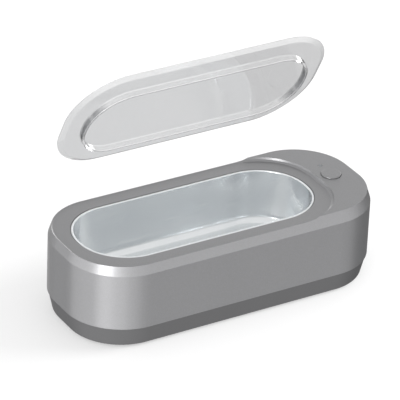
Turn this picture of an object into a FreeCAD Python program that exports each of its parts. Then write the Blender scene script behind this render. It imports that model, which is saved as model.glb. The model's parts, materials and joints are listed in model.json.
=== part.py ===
"""Bench-top ultrasonic cleaner for jewellery: a long rounded housing with a steel tank and a clear lid.

Millimetres, +Z up. The origin is on the surface that the feet stand on, under the middle of the housing.
The tank lies towards -X, and the control deck is at the +X end.
"""
import FreeCAD, Part
import os
from math import cos, radians, tan

import Sketcher
from FreeCAD import Placement, Rotation, Vector

doc = FreeCAD.newDocument("UltrasonicCleaner")

# ---------------------------------------------------------------- driving dimensions
DIMENSIONS = {
    # housing
    "body_length": 200.0, "body_width": 85.2, "corner_radius": 35.4, "body_top": 55.7,
    "seam_height": 13.5, "bevel_width": 2.3, "bevel_drop": 7.1, "wall": 2.4,
    "ledge_thickness": 2.2, "deck_thickness": 2.2,
    # seat that the lid drops into
    "seat_depth": 2.0, "seat_right": 74.1, "seat_margin": 0.9, "seat_wall_drop": 1.2,
    "seat_wall_draft": 20.0, "seat_foot_draft": 60.0,
    # base
    "foot_height": 1.0, "base_inset": 3.4, "base_step": 0.5, "base_draft": 13.06, "base_floor": 2.2,
    "tongue_inset": 2.6, "tongue_height": 2.4, "tray_inset": 4.4, "foot_radius": 6.0, "foot_pocket": 0.8,
    "foot_across": 76.0, "foot_apart": 22.0,
    # tank
    "tank_offset": -12.0, "tank_length": 151.4, "tank_width": 59.2, "tank_corner": 28.6,
    "tank_depth": 34.0, "tank_sheet": 0.7, "tank_draft": 2.0, "tank_rim": 1.4, "tank_fillet": 6.0,
    "opening_gap": 0.3, "seal_thickness": 0.4, "rebate_depth": 1.1,
    # lid
    "lid_offset": -12.4, "lid_length": 170.8, "lid_width": 80.0, "lid_corner": 34.0, "lid_thickness": 2.0,
    "lid_chamfer_width": 3.1, "lid_chamfer_height": 1.5, "rib_length": 147.0, "rib_width": 53.0,
    "rib_corner": 25.5, "rib_height": 4.0, "rib_thickness": 1.5,
    "lid_raise": 62.0, "lid_pivot_side": 61.7, "lid_pivot_height": 85.8,
    # housing screws
    "screw_left": -64.0, "screw_middle": 4.0, "screw_right": 72.0, "screw_side": 35.0,
    "boss_meet": 16.0, "boss_radius": 3.2, "base_boss_radius": 3.8,
    # control deck
    "button_place": 83.0, "button_radius": 6.0, "button_proud": 0.8, "button_travel": 0.8,
    "lamp_side": 12.0, "lamp_radius": 1.2, "control_top": 45.6, "board_thickness": 1.6,
    "control_screw_place": 89.0, "control_screw_side": 15.0,
    # driver board
    "driver_left": 28.0, "driver_right": 88.0, "driver_side": 22.0, "driver_bottom": 7.2,
    "driver_screw_left": 32.0, "driver_screw_right": 85.0, "driver_screw_side": 19.0,
    # transducer
    "disc_radius": 20.0, "disc_thickness": 2.6,
    # power inlet
    "inlet_height": 28.0, "inlet_flange_radius": 5.3, "inlet_barrel_radius": 3.9, "inlet_bore_radius": 2.8,
}

dims = doc.addObject("Spreadsheet::Sheet", "dims")
for row, (alias, number) in enumerate(DIMENSIONS.items(), start=1):
    dims.set("A%d" % row, alias)
    dims.set("B%d" % row, str(number))
    dims.setAlias("B%d" % row, alias)
doc.recompute()

# Expressions that several pieces share.
HALF_LENGTH = "dims.body_length / 2"
HALF_WIDTH = "dims.body_width / 2"
CORNER = "dims.corner_radius"
SEAT_FLOOR = "(dims.body_top - dims.seat_depth)"
CEILING = "(dims.body_top - dims.seat_depth - dims.ledge_thickness)"
TANK_UNDERSIDE = "(dims.body_top - dims.seat_depth - dims.tank_depth - dims.tank_sheet)"
TRAY_FLOOR = "(dims.foot_height + dims.base_floor)"
DRIVER_TOP = "(dims.driver_bottom + dims.board_thickness)"
TANK_HALF_LENGTH = "dims.tank_length / 2"
TANK_HALF_WIDTH = "dims.tank_width / 2"
SIDES = ("", "-")
HOUSING_SCREWS = [(place, sign + "dims.screw_side")
                  for place in ("dims.screw_left", "dims.screw_middle", "dims.screw_right") for sign in SIDES]
DRIVER_SCREWS = [(place, sign + "dims.driver_screw_side")
                 for place in ("dims.driver_screw_left", "dims.driver_screw_right") for sign in SIDES]
CONTROL_SCREWS = [("dims.control_screw_place", sign + "dims.control_screw_side") for sign in SIDES]
FEET = [(across + "dims.foot_across", apart + "dims.foot_apart") for across in SIDES for apart in SIDES]

nodes = []


def value(expression):
    """The number that an expression has now, in millimetres or degrees."""
    result = dims.evalExpression(expression)
    return float(getattr(result, "Value", result))


def keep(obj, label):
    """Name a finished sub-part and put it on the list of nodes."""
    obj.Label = label
    nodes.append(obj)
    return obj


def bind(obj, **expressions):
    """Bind properties to the sheet; a double underscore stands for the dot of a sub-property."""
    for name, expression in expressions.items():
        obj.setExpression(name.replace("__", "."), str(expression))


# ---------------------------------------------------------------- sketch and feature helpers
def sketch_on(body, role, height, across="0", name="sketch"):
    """An empty sketch on one of the body's origin planes, raised along its normal."""
    plane = next(f for f in body.Origin.OriginFeatures if f.Role == role)
    sketch = body.newObject("Sketcher::SketchObject", name)
    sketch.AttachmentSupport = [(plane, "")]
    sketch.MapMode = "FlatFace"
    sketch.setExpression("AttachmentOffset.Base.z", height)
    if across != "0":
        sketch.setExpression("AttachmentOffset.Base.x", across)
    return sketch


def add_oblong(sketch, half_length, half_width, corner):
    """A rectangle with rounded corners about the sketch's origin; its sizes are expressions."""
    length, width, radius = value(half_length), value(half_width), value(corner)
    near, far = length - radius, width - radius
    first = sketch.GeometryCount
    ends = [((-near, -width), (near, -width)), ((length, -far), (length, far)),
            ((near, width), (-near, width)), ((-length, far), (-length, -far))]
    for (x1, y1), (x2, y2) in ends:
        sketch.addGeometry(Part.LineSegment(Vector(x1, y1, 0), Vector(x2, y2, 0)), False)
    centres = [(near, -far, 270), (near, far, 0), (-near, far, 90), (-near, -far, 180)]
    for x, y, start in centres:
        circle = Part.Circle(Vector(x, y, 0), Vector(0, 0, 1), radius)
        sketch.addGeometry(Part.ArcOfCircle(circle, radians(start), radians(start + 90)), False)
    for side in range(4):
        line, arc, following = first + side, first + 4 + side, first + (side + 1) % 4
        sketch.addConstraint(Sketcher.Constraint("Tangent", line, 2, arc, 1))
        sketch.addConstraint(Sketcher.Constraint("Tangent", arc, 2, following, 1))
        sketch.addConstraint(Sketcher.Constraint("Horizontal" if side % 2 == 0 else "Vertical", line))
        if side:
            sketch.addConstraint(Sketcher.Constraint("Equal", first + 4, arc))
    sketch.addConstraint(Sketcher.Constraint("Symmetric", first, 1, first + 2, 1, -1, 1))
    sizes = [(("Radius", first + 4), corner, radius),
             (("DistanceX", first + 3, 1, first + 1, 1), "2 * (%s)" % half_length, 2 * length),
             (("DistanceY", first, 1, first + 2, 1), "2 * (%s)" % half_width, 2 * width)]
    for constraint, expression, number in sizes:
        index = sketch.addConstraint(Sketcher.Constraint(*constraint, number))
        sketch.setExpression("Constraints[%d]" % index, expression)


def add_circles(sketch, centres, radius):
    """Circles of one radius, each centre given as two expressions."""
    for across, along in centres:
        x, y = value(across), value(along)
        index = sketch.addGeometry(Part.Circle(Vector(x, y, 0), Vector(0, 0, 1), value(radius)), False)
        for kind, number, expression, axis in (("DistanceX", x, across, -2), ("DistanceY", y, along, -1)):
            if abs(number) < 1e-9:
                sketch.addConstraint(Sketcher.Constraint("PointOnObject", index, 3, axis))
                continue
            ends = (-1, 1, index, 3) if number > 0 else (index, 3, -1, 1)
            size = sketch.addConstraint(Sketcher.Constraint(kind, *ends, abs(number)))
            signed = expression if number > 0 else "-(%s)" % expression
            sketch.setExpression("Constraints[%d]" % size, signed)
        size = sketch.addConstraint(Sketcher.Constraint("Radius", index, value(radius)))
        sketch.setExpression("Constraints[%d]" % size, radius)


def oblong(body, half_length, half_width, corner, height, across="0", name="outline"):
    """A sketch of one rounded oblong at a height, its centre moved along X."""
    sketch = sketch_on(body, "XY_Plane", height, across, name)
    add_oblong(sketch, half_length, half_width, corner)
    return sketch


def holes(body, centres, radius, height, name="circles", role="XY_Plane"):
    """A sketch of circles at a height."""
    sketch = sketch_on(body, role, height, name=name)
    add_circles(sketch, centres, radius)
    return sketch


def inset_oblong(body, inset, height, name="outline"):
    """The housing's own outline, moved inwards."""
    return oblong(body, "%s - %s" % (HALF_LENGTH, inset), "%s - %s" % (HALF_WIDTH, inset),
                  "%s - %s" % (CORNER, inset), height, name=name)


def feature(body, kind, sketch, length, reverse=False, draft=None, name="feature"):
    """A Pad or Pocket of a sketch; a pocket that cuts nothing is an error."""
    before = body.Shape.Volume if body.Shape and not body.Shape.isNull() else 0.0
    made = body.newObject("PartDesign::" + kind, name)
    made.Profile = sketch
    made.Type = 0
    made.Reversed = reverse
    made.setExpression("Length", length)
    if draft:
        made.setExpression("TaperAngle", draft)
    sketch.Visibility = False
    doc.recompute()
    change = made.Shape.Volume - before
    if (kind == "Pocket") != (change < 0) or abs(change) < 1e-6:
        raise RuntimeError("%s in %s changes the volume by %.3f" % (name, body.Name, change))
    return made


def pad(body, sketch, length, **options):
    return feature(body, "Pad", sketch, length, **options)


def pocket(body, sketch, length, **options):
    return feature(body, "Pocket", sketch, length, **options)


def level_edges(base, height, keep_edge=None):
    """Names of the edges that lie wholly at one height."""
    names = []
    for number, edge in enumerate(base.Shape.Edges, start=1):
        box = edge.BoundBox
        flat = abs(box.ZMin - height) < 1e-3 and abs(box.ZMax - height) < 1e-3
        if flat and (keep_edge is None or keep_edge(edge)):
            names.append("Edge%d" % number)
    return names


def fillet(body, base, edges, radius):
    made = body.newObject("PartDesign::Fillet", "fillet")
    made.Base = (base, edges)
    made.setExpression("Radius", radius)
    doc.recompute()
    return made


def chamfer(body, base, edges, width, drop, flip=False):
    made = body.newObject("PartDesign::Chamfer", "chamfer")
    made.Base = (base, edges)
    made.ChamferType = "Two distances"
    made.FlipDirection = flip
    made.setExpression("Size", width)
    made.setExpression("Size2", drop)
    doc.recompute()
    return made


# ---------------------------------------------------------------- primitive helpers
def place(obj, x, y, z, rotation=None):
    """Put an object where three expressions say, turned by a rotation if one is given."""
    if rotation:
        obj.Placement = Placement(Vector(), rotation)
    bind(obj, Placement__Base__x=x, Placement__Base__y=y, Placement__Base__z=z)
    return obj


def block(x, y, z, length, width, height, name="block"):
    """A box from its lowest corner."""
    obj = doc.addObject("Part::Box", name)
    bind(obj, Length=length, Width=width, Height=height)
    return place(obj, x, y, z)


def centred_block(x, y, z, length, width, height, name="block"):
    """A box that stands on z with its middle at x, y."""
    return block("%s - (%s) / 2" % (x, length), "%s - (%s) / 2" % (y, width), z, length, width, height, name)


def rod(x, y, z, radius, height, rotation=None, name="rod"):
    obj = doc.addObject("Part::Cylinder", name)
    bind(obj, Radius=radius, Height=height)
    return place(obj, x, y, z, rotation)


def joined(parts, name="joined"):
    obj = doc.addObject("Part::MultiFuse", name)
    obj.Shapes = parts
    return obj


def cut(base, tool, name="cut"):
    obj = doc.addObject("Part::Cut", name)
    obj.Base = base
    obj.Tool = tool
    return obj


def group(parts, name="group"):
    """Several separate solids in one node."""
    obj = doc.addObject("Part::Compound", name)
    obj.Links = parts
    return obj


def pan_screw(x, y, z, head_radius, head_height, shank_radius, shank_length, upward=True):
    """A cross-recess screw; z is the face that its head bears on, and the shank goes up or down from it."""
    head_foot = "%s - %s" % (z, head_height) if upward else z
    slot_foot = head_foot if upward else "%s + %s / 2" % (z, head_height)
    shank_foot = z if upward else "%s - %s" % (z, shank_length)
    head = rod(x, y, head_foot, head_radius, head_height)
    shank = rod(x, y, shank_foot, shank_radius, shank_length)
    slots = joined([centred_block(x, y, slot_foot, across, along, "%s / 2" % head_height)
                    for across, along in ((head_radius, "0.6"), ("0.6", head_radius))])
    return cut(joined([head, shank]), slots, "screw")


def wire(label, points, radius):
    """A round lead along straight runs that are joined by tangent arcs."""
    points = [Vector(*point) for point in points]
    edges, start = [], points[0]
    for before, corner, after in zip(points, points[1:], points[2:]):
        inward, outward = (corner - before).normalize(), (after - corner).normalize()
        half_turn = inward.getAngle(outward) / 2
        reach = 0.45 * min((corner - before).Length, (after - corner).Length)
        first, last = corner - inward * reach, corner + outward * reach
        sagitta = reach * (1 / cos(half_turn) - 1) / tan(half_turn)
        middle = corner + (outward - inward).normalize() * sagitta
        edges += [Part.LineSegment(start, first).toShape(), Part.Arc(first, middle, last).toShape()]
        start = last
    edges.append(Part.LineSegment(start, points[-1]).toShape())
    direction = (points[1] - points[0]).normalize()
    profile = Part.Wire([Part.Circle(points[0], direction, radius).toShape()])
    obj = doc.addObject("Part::Feature", label)
    obj.Shape = Part.Wire(edges).makePipeShell([profile], True, False)
    return obj


# ---------------------------------------------------------------- housing
def make_outer_shell():
    """The moulded upper housing: bevelled top edge, lid seat, tank opening, deck and screw bosses."""
    body = doc.addObject("PartDesign::Body", "outer_shell")
    bevel_foot = "dims.body_top - dims.bevel_drop"
    wall_pad = pad(body, inset_oblong(body, "0", "dims.seam_height"), "dims.body_top - dims.seam_height")
    softened = fillet(body, wall_pad, level_edges(wall_pad, value("dims.seam_height")), "0.5")
    bevel = chamfer(body, softened, level_edges(softened, value("dims.body_top")),
                    "dims.bevel_drop", "dims.bevel_width")
    if not level_edges(bevel, value(bevel_foot)):
        raise RuntimeError("the bevel's two distances are the wrong way round")
    make_lid_seat(body)
    tank_outline = [TANK_HALF_LENGTH, TANK_HALF_WIDTH, "dims.tank_corner"]
    rebate = ["%s + dims.tank_rim + dims.opening_gap" % size for size in tank_outline]
    pocket(body, oblong(body, *rebate, SEAT_FLOOR, "dims.tank_offset"), "dims.rebate_depth", name="rim_rebate")
    pocket(body, inset_oblong(body, "dims.wall", "dims.seam_height"), CEILING + " - dims.seam_height",
           reverse=True, name="cavity")
    deck_room = oblong(body, "9.5", "24", "3", CEILING, "84.5")
    pocket(body, deck_room, "dims.body_top - dims.deck_thickness - %s" % CEILING, reverse=True, name="deck_room")
    opening = ["%s + dims.tank_sheet + dims.opening_gap" % size for size in tank_outline]
    pocket(body, oblong(body, *opening, SEAT_FLOOR, "dims.tank_offset"), "dims.ledge_thickness + 1",
           name="tank_opening")
    pad(body, holes(body, HOUSING_SCREWS, "dims.boss_radius", "dims.boss_meet"),
        CEILING + " - dims.boss_meet", name="screw_bosses")
    pocket(body, holes(body, HOUSING_SCREWS, "1.25", "dims.boss_meet"), "12", reverse=True, name="screw_pilots")
    pad(body, holes(body, CONTROL_SCREWS, "2.4", "dims.control_top"),
        "dims.body_top - dims.deck_thickness - dims.control_top", name="control_bosses")
    pocket(body, holes(body, CONTROL_SCREWS, "0.8", "dims.control_top"), "5", reverse=True, name="control_pilots")
    button_hole = [("dims.button_place", "0")]
    pocket(body, holes(body, button_hole, "dims.button_radius + 0.3", "dims.body_top"),
           "dims.deck_thickness + 0.5", name="button_hole")
    lamp_hole = [("dims.button_place", "dims.lamp_side")]
    pocket(body, holes(body, lamp_hole, "dims.lamp_radius", "dims.body_top"),
           "dims.deck_thickness + 0.5", name="lamp_hole")
    inlet = [("0", "dims.inlet_height")]
    pocket(body, holes(body, inlet, "dims.inlet_flange_radius + 0.15", HALF_LENGTH, role="YZ_Plane"), "1",
           name="inlet_seat")
    pocket(body, holes(body, inlet, "dims.inlet_barrel_radius + 0.15", HALF_LENGTH, role="YZ_Plane"),
           "dims.wall + 0.5", name="inlet_hole")
    return keep(body, "outer_shell")


def make_lid_seat(body):
    """A shallow seat in two steps: a steep upper wall, then a wide foot that runs into the floor."""
    half_length = "(dims.seat_right + %s - dims.seat_margin) / 2" % HALF_LENGTH
    centre = "(dims.seat_right - %s + dims.seat_margin) / 2" % HALF_LENGTH
    drawn_in = "dims.seat_wall_drop * tan(dims.seat_wall_draft * 1 deg)"
    lower_top = "dims.body_top - dims.seat_wall_drop"
    upper = oblong(body, half_length, "%s - dims.seat_margin" % HALF_WIDTH,
                   "%s - dims.seat_margin" % CORNER, "dims.body_top", centre)
    pocket(body, upper, "dims.seat_wall_drop", draft="-dims.seat_wall_draft", name="seat_wall")
    lower = oblong(body, "%s - %s" % (half_length, drawn_in),
                   "%s - dims.seat_margin - %s" % (HALF_WIDTH, drawn_in),
                   "%s - dims.seat_margin - %s" % (CORNER, drawn_in), lower_top, centre)
    pocket(body, lower, "dims.seat_depth - dims.seat_wall_drop", draft="-dims.seat_foot_draft", name="seat_foot")


def make_base_cover():
    """The darker moulded tray that closes the housing from below and carries the driver board."""
    body = doc.addObject("PartDesign::Body", "base_cover")
    flare = pad(body, inset_oblong(body, "dims.base_inset", "dims.foot_height"),
                "dims.seam_height - dims.foot_height", draft="dims.base_draft")
    fillet(body, flare, level_edges(flare, value("dims.foot_height")), "2")
    pad(body, inset_oblong(body, "dims.tongue_inset", "dims.seam_height"), "dims.tongue_height", name="tongue")
    pocket(body, inset_oblong(body, "dims.tray_inset", "dims.seam_height + dims.tongue_height"),
           "dims.seam_height + dims.tongue_height - %s" % TRAY_FLOOR, name="tray")
    pad(body, holes(body, HOUSING_SCREWS, "dims.base_boss_radius", TRAY_FLOOR),
        "dims.boss_meet - %s" % TRAY_FLOOR, name="screw_bosses")
    pad(body, holes(body, DRIVER_SCREWS, "3", TRAY_FLOOR), "dims.driver_bottom - %s" % TRAY_FLOOR,
        name="standoffs")
    pocket(body, holes(body, DRIVER_SCREWS, "0.9", "dims.driver_bottom"), "4", name="standoff_pilots")
    pocket(body, holes(body, HOUSING_SCREWS, "1.7", "dims.foot_height"), "dims.boss_meet", reverse=True,
           name="screw_holes")
    pocket(body, holes(body, HOUSING_SCREWS, "3.1", "dims.foot_height"), "6", reverse=True, name="screw_wells")
    pocket(body, holes(body, FEET, "dims.foot_radius", "dims.foot_height"), "dims.foot_pocket", reverse=True,
           name="foot_pockets")
    return keep(body, "base_cover")


def make_rubber_feet():
    """Four stick-on rubber discs in the base's pockets."""
    feet = [rod(x, y, "0", "dims.foot_radius - 0.2", "dims.foot_height + dims.foot_pocket") for x, y in FEET]
    return keep(group(feet), "rubber_feet")


def make_base_screws():
    """Six self-tapping screws, sunk in the base's wells, that pull the base up to the shell."""
    screws = [pan_screw(x, y, "dims.foot_height + 6", "2.8", "1.8", "1.25", "16") for x, y in HOUSING_SCREWS]
    return keep(group(screws), "base_screws")


# ---------------------------------------------------------------- tank
def make_tank():
    """The drawn stainless tank, with a narrow rim that lies in the shell's rebate."""
    body = doc.addObject("PartDesign::Body", "tank")
    outline = [TANK_HALF_LENGTH, TANK_HALF_WIDTH, "dims.tank_corner"]
    rim = ["%s + dims.tank_rim" % size for size in outline]
    outside = ["%s + dims.tank_sheet" % size for size in outline]
    pad(body, oblong(body, *rim, SEAT_FLOOR, "dims.tank_offset"), "dims.tank_sheet", reverse=True, name="rim")
    pad(body, oblong(body, *outside, SEAT_FLOOR, "dims.tank_offset"),
        "dims.tank_depth + dims.tank_sheet", reverse=True, draft="-dims.tank_draft", name="walls")
    hollow = pocket(body, oblong(body, *outline, SEAT_FLOOR, "dims.tank_offset"), "dims.tank_depth",
                    draft="-dims.tank_draft", name="hollow")
    floor = value(TANK_UNDERSIDE + " + dims.tank_sheet")
    inner = fillet(body, hollow, level_edges(hollow, floor), "dims.tank_fillet")
    outer = fillet(body, inner, level_edges(inner, value(TANK_UNDERSIDE)), "dims.tank_fillet + dims.tank_sheet")
    mouth = level_edges(outer, value(SEAT_FLOOR), lambda edge: edge.BoundBox.YMax < value(TANK_HALF_WIDTH) + 0.1
                        and edge.BoundBox.XMax < value("dims.tank_offset + %s" % TANK_HALF_LENGTH) + 0.1)
    fillet(body, outer, mouth, "0.5")
    return keep(body, "tank")


def make_tank_seal():
    """The silicone ring under the tank's rim."""
    body = doc.addObject("PartDesign::Body", "tank_seal")
    outline = [TANK_HALF_LENGTH, TANK_HALF_WIDTH, "dims.tank_corner"]
    underside = SEAT_FLOOR + " - dims.rebate_depth"
    outer = ["%s + dims.tank_rim" % size for size in outline]
    inner = ["%s + dims.tank_sheet + 0.05" % size for size in outline]
    sketch = oblong(body, *outer, underside, "dims.tank_offset")
    add_oblong(sketch, *inner)
    pad(body, sketch, "dims.seal_thickness")
    return keep(body, "tank_seal")


CLIP_PLACES = [(x, side) for x in ("-40", "40") for side in (1, -1)]
CLIP_WALL = "dims.tank_width / 2 + dims.tank_sheet + 0.1"


def make_tank_clips():
    """Four steel angle clips, spot-welded to the tank's wall, that hold it down to the ledge."""
    clips = []
    for x, side in CLIP_PLACES:
        leg_place = "%d * (%s + 0.4)" % (side, CLIP_WALL)
        shelf_place = "%d * (%s + 3.2)" % (side, CLIP_WALL)
        leg = centred_block(x, leg_place, "42.5", "8", "0.8", "7")
        shelf = centred_block(x, shelf_place, "48.7", "8", "6.4", "0.8")
        clips.append(cut(joined([leg, shelf]), rod(x, "%d * 34.4" % side, "48", "1.5", "3"), "clip"))
    return keep(group(clips), "tank_clips")


def make_clip_screws():
    """Four screws through the clips, their tips against the ledge."""
    screws = [pan_screw(x, "%d * 34.4" % side, "48.7", "2.5", "1.6", "1.4", "2.8") for x, side in CLIP_PLACES]
    return keep(group(screws), "clip_screws")


def make_support_pads():
    """Four rubber blocks that carry the tank's floor on the base."""
    pads = [centred_block(x, y, TRAY_FLOOR, "10", "10", "%s - %s" % (TANK_UNDERSIDE, TRAY_FLOOR))
            for x in ("-62", "18") for y in ("14", "-14")]
    return keep(group(pads), "support_pads")


def make_transducer():
    """The piezo disc bonded under the tank, with its silver electrode."""
    disc_bottom = "%s - dims.disc_thickness" % TANK_UNDERSIDE
    disc = rod("dims.tank_offset", "0", disc_bottom, "dims.disc_radius", "dims.disc_thickness")
    keep(disc, "piezo_disc")
    electrode = rod("dims.tank_offset", "0", "%s - 0.2" % disc_bottom, "dims.disc_radius - 1.5", "0.2")
    return keep(electrode, "disc_electrode")


# ---------------------------------------------------------------- lid
def raise_lid(body):
    """Turn the lid from its seat up to where a hand holds it open, tilted back over the tank.

    The turn is about a line along X in the free air behind the housing; turning back seats the lid.
    """
    cosine = "cos(dims.lid_raise * 1 deg)"
    sine = "sin(dims.lid_raise * 1 deg)"
    body.Placement = Placement(Vector(), Rotation(Vector(-1, 0, 0), value("dims.lid_raise")))
    bind(body, Placement__Rotation__Angle="dims.lid_raise * 1 deg",
         Placement__Base__y="dims.lid_pivot_side * (1 - %s) - dims.lid_pivot_height * %s" % (cosine, sine),
         Placement__Base__z="dims.lid_pivot_height * (1 - %s) + dims.lid_pivot_side * %s" % (cosine, sine))


def make_lid():
    """The clear moulded lid: a flat plate with a tapered rim, and a locating rib underneath.

    It is drawn in its seat and then raised.
    """
    body = doc.addObject("PartDesign::Body", "lid")
    plate = pad(body, oblong(body, "dims.lid_length / 2", "dims.lid_width / 2", "dims.lid_corner",
                             SEAT_FLOOR, "dims.lid_offset"), "dims.lid_thickness", name="plate")
    tapered = chamfer(body, plate, level_edges(plate, value(SEAT_FLOOR)),
                      "dims.lid_chamfer_height", "dims.lid_chamfer_width")
    shoulder = value(SEAT_FLOOR + " + dims.lid_chamfer_height")
    if not level_edges(tapered, shoulder):
        raise RuntimeError("the lid's chamfer distances are the wrong way round")
    fillet(body, tapered, level_edges(tapered, value("dims.body_top")), "0.25")
    rib = oblong(body, "dims.rib_length / 2", "dims.rib_width / 2", "dims.rib_corner", SEAT_FLOOR,
                 "dims.lid_offset")
    add_oblong(rib, "dims.rib_length / 2 - dims.rib_thickness", "dims.rib_width / 2 - dims.rib_thickness",
               "dims.rib_corner - dims.rib_thickness")
    rib_pad = pad(body, rib, "dims.rib_height", reverse=True, name="rib")
    fillet(body, rib_pad, level_edges(rib_pad, value(SEAT_FLOOR + " - dims.rib_height")), "0.4")
    raise_lid(body)
    return keep(body, "lid")


# ---------------------------------------------------------------- control deck
def make_power_button():
    """The round cap, its retaining flange under the deck, and the stem that pushes the switch."""
    body = doc.addObject("PartDesign::Body", "power_button")
    centre = [("dims.button_place", "0")]
    cap_foot = "dims.body_top - dims.deck_thickness - 1.6"
    cap_top = "dims.body_top + dims.button_proud"
    cap = pad(body, holes(body, centre, "dims.button_radius", cap_foot), "%s - (%s)" % (cap_top, cap_foot))
    fillet(body, cap, level_edges(cap, value(cap_top)), "0.5")
    pad(body, holes(body, centre, "dims.button_radius + 1.2", cap_foot), "1.3", name="flange")
    pad(body, holes(body, centre, "1.6", cap_foot), "%s - dims.control_top - 4.4" % cap_foot, reverse=True,
        name="stem")
    return keep(body, "power_button")


def make_control_board():
    """The small board under the deck with the switch and the lamp."""
    bottom = "dims.control_top - dims.board_thickness"
    plate = centred_block("85", "0", bottom, "16", "38", "dims.board_thickness")
    drills = joined([rod(x, y, bottom, "1.1", "dims.board_thickness") for x, y in CONTROL_SCREWS])
    keep(cut(plate, drills), "control_board")
    switch = centred_block("dims.button_place", "0", "dims.control_top", "6", "6", "3.4")
    bore = rod("dims.button_place", "0", "dims.control_top + 1.6", "1.85", "1.8")
    keep(cut(switch, bore), "switch_body")
    keep(rod("dims.button_place", "0", "dims.control_top + 2.5", "1.7", "1.9"), "switch_plunger")
    lamp_foot = "dims.control_top + 0.2"
    base = rod("dims.button_place", "dims.lamp_side", "dims.control_top", "1.9", "1")
    dome = rod("dims.button_place", "dims.lamp_side", lamp_foot, "1.5", "3")
    keep(joined([base, dome]), "lamp")
    guide_foot = "dims.control_top + 3.5"
    pipe = rod("dims.button_place", "dims.lamp_side", guide_foot, "dims.lamp_radius - 0.1",
               "dims.body_top - (%s)" % guide_foot)
    collar = rod("dims.button_place", "dims.lamp_side", "dims.body_top - dims.deck_thickness - 1",
                 "dims.lamp_radius + 0.7", "1")
    keep(joined([pipe, collar]), "light_guide")
    screws = [pan_screw(x, y, bottom, "1.9", "1.2", "0.8", "5.6") for x, y in CONTROL_SCREWS]
    return keep(group(screws), "control_screws")


# ---------------------------------------------------------------- driver electronics
def make_driver_board():
    plate = block("dims.driver_left", "-dims.driver_side", "dims.driver_bottom",
                  "dims.driver_right - dims.driver_left", "2 * dims.driver_side", "dims.board_thickness")
    drills = joined([rod(x, y, "dims.driver_bottom", "1.3", "dims.board_thickness") for x, y in DRIVER_SCREWS])
    keep(cut(plate, drills), "driver_board")
    screws = [pan_screw(x, y, DRIVER_TOP, "2.2", "1.3", "0.9", "5", upward=False) for x, y in DRIVER_SCREWS]
    return keep(group(screws), "driver_screws")


def make_transformer():
    """The ferrite step-up transformer: an E-core with a coil on its middle leg."""
    x, y = "75.5", "-9"
    core = centred_block(x, y, DRIVER_TOP, "16", "5", "14")
    windows = joined([centred_block("75.5 %s 4.25" % sign, y, DRIVER_TOP + " + 3", "3.5", "5", "8")
                      for sign in "+-"])
    keep(cut(core, windows), "transformer_core")
    coil = centred_block(x, y, DRIVER_TOP + " + 3.1", "11.8", "13", "7.8")
    middle_leg = centred_block(x, y, DRIVER_TOP + " + 3.1", "5.2", "5.2", "7.8")
    return keep(cut(coil, middle_leg), "transformer_coil")


def make_drive_transistor():
    """The power transistor in its upright case, screwed to a finned aluminium heat sink."""
    plate = block("76", "2", DRIVER_TOP, "1.6", "18", "20")
    fins = [block("70", "%.2f" % (2 + 4.2 * number), DRIVER_TOP, "6", "1.2", "20") for number in range(5)]
    keep(joined([plate] + fins), "heat_sink")
    tab = block("77.6", "6", DRIVER_TOP + " + 4", "1.3", "10", "15")
    case = block("78.9", "6", DRIVER_TOP + " + 4", "3.1", "10", "9")
    legs = [block("80", "%.2f" % (8.1 + 2.54 * number), DRIVER_TOP, "0.5", "0.8", "4") for number in range(3)]
    hole = rod("77", "11", DRIVER_TOP + " + 16", "1.8", "3", Rotation(Vector(0, 1, 0), 90))
    keep(cut(joined([tab, case] + legs), hole), "drive_transistor")
    head = rod("78.9", "11", DRIVER_TOP + " + 16", "2.8", "1.6", Rotation(Vector(0, 1, 0), 90))
    return keep(head, "transistor_screw")


def make_board_parts():
    """The other parts that stand on the driver board."""
    capacitors = [rod("60", y, DRIVER_TOP, "4", "9") for y in ("-15", "-5")]
    keep(group(capacitors), "smoothing_capacitors")
    keep(centred_block("46", "4", DRIVER_TOP, "13", "5", "8"), "drive_capacitor")
    choke = doc.addObject("Part::Torus", "choke")
    bind(choke, Radius1="4.5", Radius2="2")
    keep(place(choke, "46", "-12", DRIVER_TOP + " + 2"), "choke")
    keep(rod("58", "14", DRIVER_TOP, "4.2", "7.5"), "fuse")
    body = centred_block("37", "12", DRIVER_TOP + " + 0.2", "5", "4", "1.5")
    legs = [centred_block("%.2f" % (37 - 1.9 + 1.27 * number), "12 + %s3.1" % sign, DRIVER_TOP, "0.5", "2.2", "0.3")
            for number in range(4) for sign in SIDES]
    legs = joined(legs)
    keep(joined([body, legs]), "timer_chip")
    sockets = [centred_block(x, y, DRIVER_TOP, "5.8", "7.4", "6")
               for x, y in (("32", "0"), ("66", "16"), ("84.8", "0"))]
    return keep(group(sockets), "lead_sockets")


def make_power_inlet():
    """The round low-voltage inlet in the +X end: its threaded body, its nut and its centre pin."""
    along = Rotation(Vector(0, 1, 0), 90)
    front = HALF_LENGTH
    flange = rod(front + " - 1", "0", "dims.inlet_height", "dims.inlet_flange_radius", "1", along)
    barrel = rod(front + " - 13.5", "0", "dims.inlet_height", "dims.inlet_barrel_radius", "12.5", along)
    bore = rod(front + " - 10", "0", "dims.inlet_height", "dims.inlet_bore_radius", "10", along)
    pin_hole = rod(front + " - 13.5", "0", "dims.inlet_height", "1", "4", along)
    tag = block(front + " - 17.5", "-1", "dims.inlet_height - 3", "4", "2", "0.4")
    keep(cut(joined([flange, barrel, tag]), joined([bore, pin_hole])), "power_inlet")
    pin = rod(front + " - 17.5", "0", "dims.inlet_height", "1", "15.5", along)
    keep(pin, "inlet_pin")
    nut = doc.addObject("Part::Prism", "nut")
    nut.Polygon = 6
    nut.Placement = Placement(Vector(), along)
    bind(nut, Circumradius="6.4", Height="2.4")
    place(nut, front + " - dims.wall - 2.4", "0", "dims.inlet_height", along)
    hole = rod(front + " - dims.wall - 2.4", "0", "dims.inlet_height", "dims.inlet_barrel_radius", "2.4", along)
    return keep(cut(nut, hole), "inlet_nut")


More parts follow.
